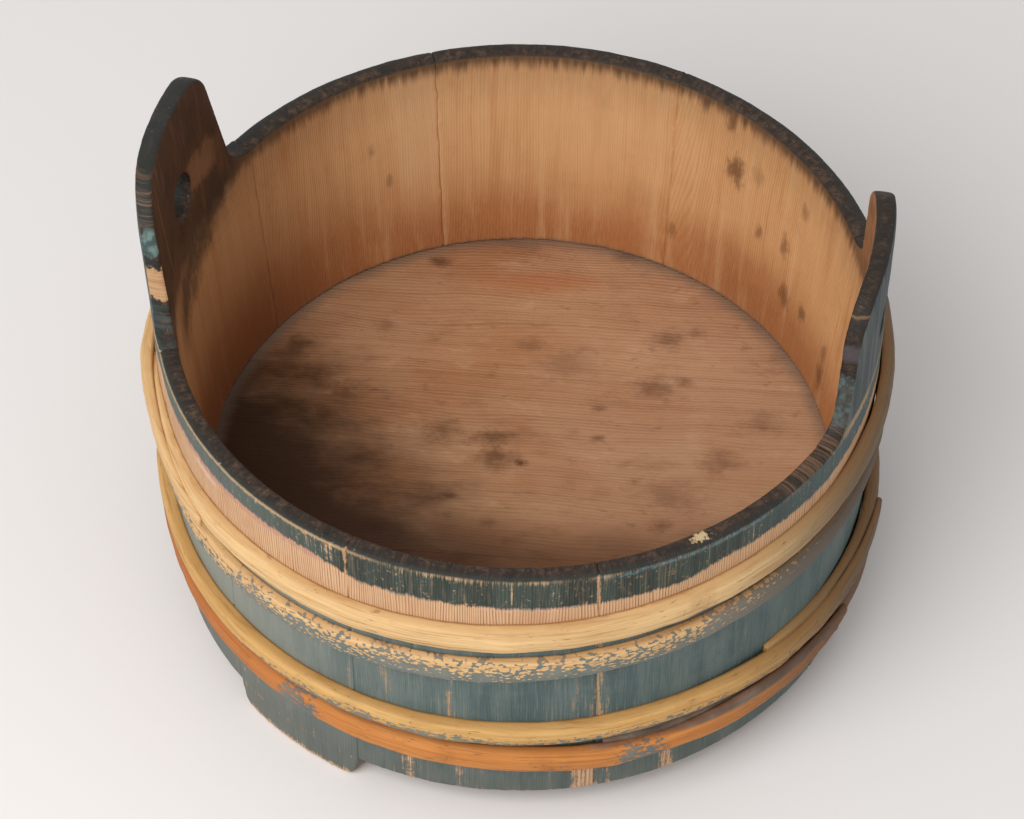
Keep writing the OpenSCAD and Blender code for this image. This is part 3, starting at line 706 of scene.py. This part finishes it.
def bottom_finish(name, colours):
    """Brown bottom boards with grain along them, small soft stains, and a grey rim of dirt at the wall."""
    f = Finish(bpy.data.materials.new(name))
    at = f.places()
    along = at.x * math.cos(BOARD_TURN) + at.y * math.sin(BOARD_TURN)
    across = at.y * math.cos(BOARD_TURN) - at.x * math.sin(BOARD_TURN)
    view = FRONT + math.pi / 2
    right = at.x * math.cos(view) + at.y * math.sin(view)
    away = at.y * math.cos(view) - at.x * math.sin(view)
    sway = f.noise(f.point(along / 150, across / 60, at.z / 60), detail=2) - 0.5
    ring = (across + sway * 22) / BOARD_RINGS
    part = ring.fraction()
    beat = f.noise(f.point(ring.floor() * 0.57, 0.3, 0), detail=0)
    line = part.step(0.2, 0.9) * part.step(1.0, 0.94) * (beat * 1.7 - 0.25).most(0)
    fibre = f.noise(f.point(along / 24, across * 1.4, at.z), detail=4, rough=0.65)
    smudge = f.noise(f.point(along / 34, across / 17, 0.7), detail=5, rough=0.62)
    small = f.noise(f.point(along / 11, across / 6, 8.2), detail=4, rough=0.6)
    cloud = f.noise(f.point(along / 95, across / 55, 3.1), detail=3, rough=0.55)
    grit = f.blots(at, 4, 2.0, 4, 0.7)
    colour = f.mix(cloud.step(0.38, 0.68) * 0.65, colours.floor, tone(170, 112, 72))
    colour = f.mix(line * (0.1 + cloud * 0.5), colour, colours.floor_line)
    # painted light: the bottom is paler towards the right
    colour = f.mix(right.step(-20, 110) * 0.4, colour, tone(198, 162, 132))
    colour = f.mix(fibre.step(0.45, 0.8) * 0.4, colour, tone(212, 174, 138))
    colour = f.mix(smudge.step(0.52, 0.8) * 0.5, colour, tone(128, 84, 54))
    colour = f.mix(smudge.step(0.45, 0.26) * 0.45, colour, tone(208, 172, 138))
    colour = f.mix(small.step(0.58, 0.78) * 0.45, colour, tone(116, 74, 46))
    colour = f.mix(grit.step(0.62, 0.8) * 0.35, colour, tone(100, 64, 42))
    ragged = (f.noise(f.point(along / 12, across / 8, 5.0), detail=4, rough=0.65) - 0.5) + (grit - 0.5) * 0.4
    for x, y, size, strength in BOTTOM_MARKS:
        gap = (((right - x) * 0.7) ** 2 + (away - y) ** 2).root()
        mark = (gap + ragged * size * 2.4).step(size * 1.5, size * -0.2)
        colour = f.mix(mark * strength, colour, colours.stain)
    rust = (((right - 11) / 44) ** 2 + ((away - 143) / 12) ** 2).root() + ragged
    colour = f.mix(rust.step(1.1, 0.2) * 0.5, colour, tone(176, 104, 60))
    # painted shadow of the walls on the bottom: darkest towards the front left, and along the front wall
    front_left_shadow = (right * -0.72 - away * 0.55 + (smudge - 0.5) * 60).step(5, 95)
    nearest = (away + (smudge - 0.5) * 40).step(-30, -70)
    colour = f.mix(front_left_shadow * 0.96, colour, tone(50, 30, 15))
    colour = f.mix(nearest * 0.65, colour, tone(76, 48, 30))
    dirt = (at.r + (smudge - 0.5) * 12).step(168, 178)
    colour = f.mix(dirt * 0.6, colour, tone(122, 104, 90))
    height = line * -0.6 + fibre * 0.5 + grit * 0.3
    return f.done(colour, 0.62 + grit * 0.2, height, depth=0.0006, bite=0.8)


def hoop_finish(name, base, dark, pale, seed, tilt, flakes=None, crackled=False, redder=0.0, greyed=None, marks=()):
    """Split wood with its grain along the hoop.

    Flakes of old paint: middle height, share low down, share to the right, and a share all over.
    Greyed: degrees from the front beyond which the wood above a height has weathered.
    Marks: degrees from the front, half width, share of paint."""
    f = Finish(bpy.data.materials.new(name))
    at = f.places()
    up = at.up - (at.ux * math.cos(HOOP_LEAN) + at.uy * math.sin(HOOP_LEAN)) * tilt

    def drawn(long, thin, shift, detail=4, rough=0.62):
        k = WALL_R / long
        return f.noise(f.point(at.ux * k + seed + shift, at.uy * k, up / thin), detail=detail, rough=rough)

    grain = drawn(46, 1.1, 0)
    strands = drawn(90, 3.2, 4)
    patches = f.blots(at, 30, seed + 1)
    grit = f.blots(at, 2.4, seed + 2, 4, 0.7)
    colour = f.mix(strands.step(0.35, 0.7), base, pale)
    colour = f.mix(grain.step(0.5, 0.7) * 0.7, colour, dark)
    colour = f.mix(patches.step(0.55, 0.8) * 0.35, colour, dark)
    pores = drawn(9, 0.7, 15, 2, 0.5)
    colour = f.mix(pores.step(0.65, 0.76) * 0.65, colour, tone(112, 78, 48))
    if redder:
        colour = f.mix(at.side.step(-0.44, -0.91) * redder, colour, tone(160, 88, 46))
    paint_left = 0.0
    if flakes:
        middle, low, right, all_over = flakes
        share = ((up - middle) / -8).most(-1).least(1) * low + at.side.step(0.34, 0.91) * right + all_over
        share = share - at.side.step(-0.53, -0.85) * 0.4 + (patches - 0.5) * 1.4
        for angle, half, amount in marks:
            share = share + at.front.within(angle - half, angle + half, half * 0.5) * amount
        scale = drawn(6, 1.5, 8, 3, 0.65) * 0.65 + grit * 0.45
        if crackled:
            k = WALL_R / 3
            gaps = f.cells(f.point(at.ux * k + grit * 1.4, at.uy * k + grit, up / 1.7))
            scale = gaps * 0.4 + drawn(3.5, 1.2, 8, 3, 0.65) * 0.4 + grit * 0.3
            pink = (up - middle).step(2.5, 4.5) * patches.step(0.48, 0.6) * grit.step(0.4, 0.6)
            colour = f.mix(pink * 0.45, colour, tone(172, 116, 98))
        paint_left = (scale + share * 0.2).step(0.60, 0.65)
        old = f.mix(patches.step(0.3, 0.7), tone(76, 104, 108), tone(112, 120, 116))
        old = f.mix(at.side.step(0.26, 0.77) * 0.5, old, tone(118, 110, 100))
        colour = f.mix(paint_left * 0.9, colour, old)
    if greyed:
        angle, height = greyed
        bleak = f.mix(patches.step(0.35, 0.65), tone(98, 82, 72), tone(132, 116, 102))
        bleak = f.mix(grain.step(0.5, 0.7) * 0.6, bleak, tone(72, 58, 48))
        colour = f.mix(at.front.within(angle, angle + 62, 2) * (up - height).step(-1, 1), colour, bleak)
    grime = (grit * 0.6 + patches * 0.5).step(0.66, 0.8)
    colour = f.mix(grime * 0.4, colour, tone(92, 70, 50))
    # painted shade: the right side of each hoop is darkened
    colour = f.mix(at.side.step(0.44, 0.93) * 0.86, colour, tone(82, 66, 53))
    colour = f.mix(at.nz.step(0.5, 0.95) * 0.35, colour, dark)
    colour = f.mix(at.outward.step(0.0, -0.5) * 0.5, colour, dark)
    height = grain * -0.7 + grit * 0.3 + paint_left * 0.4 - pores.step(0.68, 0.78) * 0.5
    return f.done(colour, 0.58 + grit * 0.2, height, depth=0.0007, bite=0.8)


def dowel_finish(name, colours):
    f = Finish(bpy.data.materials.new(name))
    at = f.places()
    fibre = f.noise(f.point(at.x * 2, at.y / 12, at.z * 2), detail=4)
    colour = f.mix(fibre.step(0.4, 0.7), colours.pine, colours.pine_line)
    return f.done(colour, 0.6 + fibre * 0.2, fibre)


class TUB_OT_plain_staves(bpy.types.Operator):
    """Dresses the seven plain staves, two of which end in feet"""
    bl_idname = "tub.plain_staves"
    bl_label = "Plain staves"

    def execute(self, context):
        for index, node in enumerate(PLAIN_STAVES):
            obj = worn_stave(node, context.scene.tub_sizes)
            material = stave_finish("painted_" + node, node, context.scene.tub_colours, 1.7 + 3.1 * index)
            finish_piece(obj, node, material)
        return {"FINISHED"}


class TUB_OT_handle_staves(bpy.types.Operator):
    """Dresses the two staves that rise into handles"""
    bl_idname = "tub.handle_staves"
    bl_label = "Handle staves"

    def execute(self, context):
        for index, side in enumerate(("left", "right")):
            node = side + "_handle_stave"
            obj = worn_stave(node, context.scene.tub_sizes, handle=True)
            material = stave_finish("painted_" + node, node, context.scene.tub_colours, 31.3 + 5.3 * index, side)
            finish_piece(obj, node, material)
        return {"FINISHED"}


class TUB_OT_bottom(bpy.types.Operator):
    """Dresses the three bottom boards and the dowels between them"""
    bl_idname = "tub.bottom"
    bl_label = "Bottom boards"

    def execute(self, context):
        material = bottom_finish("brown_bottom", context.scene.tub_colours)
        for node in BOARDS:
            obj = merged_copy(node, "worn_" + node)
            apply_modifier(obj, "BEVEL", width=context.scene.tub_sizes.board_edge, segments=2, limit_method="ANGLE",
                           angle_limit=math.radians(30))
            pick(obj)
            bpy.ops.object.shade_smooth_by_angle(angle=math.radians(30))
            finish_piece(obj, node, material)
        dowels = frame["nodes"]["bottom_dowels"]
        dowels.data.materials.clear()
        dowels.data.materials.append(dowel_finish("pine_dowel", context.scene.tub_colours))
        return {"FINISHED"}


def worn_hoop(node, sizes):
    """A hoop with its facets rounded into one smooth split strip, a little lumpy along its run."""
    obj = merged_copy(node, "worn_" + node)
    bpy.ops.object.mode_set(mode="EDIT")
    bpy.ops.mesh.select_all(action="SELECT")
    bpy.ops.mesh.tris_convert_to_quads(face_threshold=math.radians(60), shape_threshold=math.radians(60))
    bpy.ops.mesh.select_mode(type="EDGE")
    bpy.ops.mesh.select_all(action="DESELECT")
    bpy.ops.mesh.edges_select_sharp(sharpness=math.radians(52))
    bpy.ops.transform.edge_crease(value=1)
    bpy.ops.object.mode_set(mode="OBJECT")
    apply_modifier(obj, "SUBSURF", levels=2, render_levels=2)
    apply_modifier(obj, "DISPLACE", direction="NORMAL", strength=sizes.hoop_fill, mid_level=0)
    apply_modifier(obj, "DISPLACE", texture=lumps("hoop_lumps", 0.02), texture_coords="LOCAL", direction="NORMAL",
                   strength=sizes.hoop_lumps, mid_level=0.5)
    pick(obj)
    bpy.ops.object.shade_smooth()
    return obj


class TUB_OT_hoops(bpy.types.Operator):
    """Dresses the four split-wood hoops, from the bare top one to the orange base one"""
    bl_idname = "tub.hoops"
    bl_label = "Hoops"

    def execute(self, context):
        sizes, colours = context.scene.tub_sizes, context.scene.tub_colours
        finishes = {
            "top_hoop": ("hoop_wood", hoop_finish(
                "bare_top_hoop", colours.hoop, tone(164, 118, 70), tone(228, 192, 138), 2.0, 8.5,
                flakes=(144.5, 0.5, 0.25, -1.0))),
            "second_hoop": ("hoop_wood", hoop_finish(
                "flaked_second_hoop", colours.flaked_hoop, tone(160, 116, 70), tone(222, 184, 134), 11.0, 10,
                flakes=(120, 0.55, 1.0, 0.36), crackled=True)),
            "third_hoop": ("hoop_wood", hoop_finish(
                "ochre_third_hoop", colours.third_hoop, tone(150, 104, 56), tone(212, 170, 108), 23.0, -1,
                flakes=(58, 1.0, 0.2, 0.05))),
            "base_hoop": ("ochre_wood", hoop_finish(
                "orange_base_hoop", colours.base_hoop, tone(146, 86, 40), tone(204, 136, 72), 37.0, -6,
                flakes=(34.5, 0.3, 0.2, -0.5), redder=0.55, greyed=(11, 43.5),
                marks=((-37, 4, 1.2), (19, 4, 1.2), (50, 9, 0.4)))),
        }
        for node, (slot, material) in finishes.items():
            finish_piece(worn_hoop(node, sizes), node, material)
        return {"FINISHED"}


class TUB_OT_stage(bpy.types.Operator):
    """Sets the pale floor, the soft light from the upper left and the camera"""
    bl_idname = "tub.stage"
    bl_label = "Stage"

    def execute(self, context):
        stage = context.scene.tub_stage
        bpy.ops.object.select_all(action="DESELECT")
        bpy.ops.mesh.primitive_plane_add(size=1, location=(0, 0, FLOOR_Z))
        floor = context.active_object
        floor.name = "pale_floor"
        bpy.ops.object.mode_set(mode="EDIT")
        bpy.ops.transform.resize(value=(FLOOR_WIDTH, FLOOR_WIDTH, 1))
        bpy.ops.object.mode_set(mode="OBJECT")
        f = Finish(bpy.data.materials.new("pale_floor"))
        at = f.places()
        soft = f.blots(at, 900, 0.4)
        colour = f.mix(soft * 0.1, stage.floor_colour, tone(226, 222, 220))
        floor.data.materials.append(f.done(colour, 0.9 + soft * 0.05, soft, gloss=0.1))

        def place(right, away, up):
            cos, sin = math.cos(FRONT + math.pi / 2), math.sin(FRONT + math.pi / 2)
            return (right * cos - away * sin, right * sin + away * cos, up)

        lamp = bpy.data.objects.new("soft_lamp", bpy.data.lights.new("soft_lamp", "AREA"))
        context.scene.collection.objects.link(lamp)
        lamp.data.shape = "DISK"
        lamp.data.size = stage.light_size
        lamp.data.energy = stage.light_power
        lamp.location = place(*LAMP_PLACE)
        aim = Vector(place(*LAMP_AIM)) - lamp.location
        lamp.rotation_euler = aim.to_track_quat("-Z", "Y").to_euler()

        # the sky lights evenly, and shows as the floor's pale colour
        f = Finish(bpy.data.worlds.new("even_light"))
        path = f.add("ShaderNodeLightPath")
        seen, glossy, through = (
            Value(f, path.outputs[f"Is {ray} Ray"]) for ray in ("Camera", "Glossy", "Transmission"))
        even = f.add("ShaderNodeBackground", None, {"Color": (1, 1, 1), "Strength": stage.sky})
        pale = f.add("ShaderNodeBackground", None, {"Color": stage.floor_colour, "Strength": 1})
        both = f.add("ShaderNodeMixShader", None, {
            0: seen.most(glossy).most(through), 1: even.outputs[0], 2: pale.outputs[0]})
        f.add("ShaderNodeOutputWorld", None, {"Surface": both.outputs[0]})
        context.scene.world = f.owner

        camera = bpy.data.objects.new("camera", bpy.data.cameras.new("camera"))
        context.scene.collection.objects.link(camera)
        camera.data.sensor_width = SENSOR_WIDTH
        camera.data.lens = stage.lens * 1000
        camera.location = CAMERA_PLACE
        camera.rotation_euler = CAMERA_TURN
        camera.data.clip_end = 50
        context.scene.camera = camera
        context.scene.view_settings.view_transform = "Standard"
        return {"FINISHED"}


class TUB_PT_panel(bpy.types.Panel):
    """Lists the steps that dress the tub"""
    bl_idname = "TUB_PT_panel"
    bl_label = "Milk tub"
    bl_space_type = "VIEW_3D"
    bl_region_type = "UI"
    bl_category = "Tub"

    def draw(self, context):
        for step in STEPS:
            self.layout.operator(step.bl_idname)
        for group in (context.scene.tub_sizes, context.scene.tub_colours, context.scene.tub_stage):
            box = self.layout.box()
            for name in group.__annotations__:
                box.prop(group, name)


STEPS = (TUB_OT_plain_staves, TUB_OT_handle_staves, TUB_OT_bottom, TUB_OT_hoops, TUB_OT_stage)
CLASSES = (TubSizes, TubColours, StageSettings) + STEPS + (TUB_PT_panel,)


def register():
    for cls in CLASSES:
        bpy.utils.register_class(cls)
    bpy.types.Scene.tub_sizes = bpy.props.PointerProperty(type=TubSizes)
    bpy.types.Scene.tub_colours = bpy.props.PointerProperty(type=TubColours)
    bpy.types.Scene.tub_stage = bpy.props.PointerProperty(type=StageSettings)


def unregister():
    for name in ("tub_stage", "tub_colours", "tub_sizes"):
        delattr(bpy.types.Scene, name)
    for cls in reversed(CLASSES):
        bpy.utils.unregister_class(cls)


def main():
    register()
    for step in ("stage", "plain_staves", "handle_staves", "bottom", "hoops"):
        getattr(bpy.ops.tub, step)()


if __name__ == "__main__":
    main()
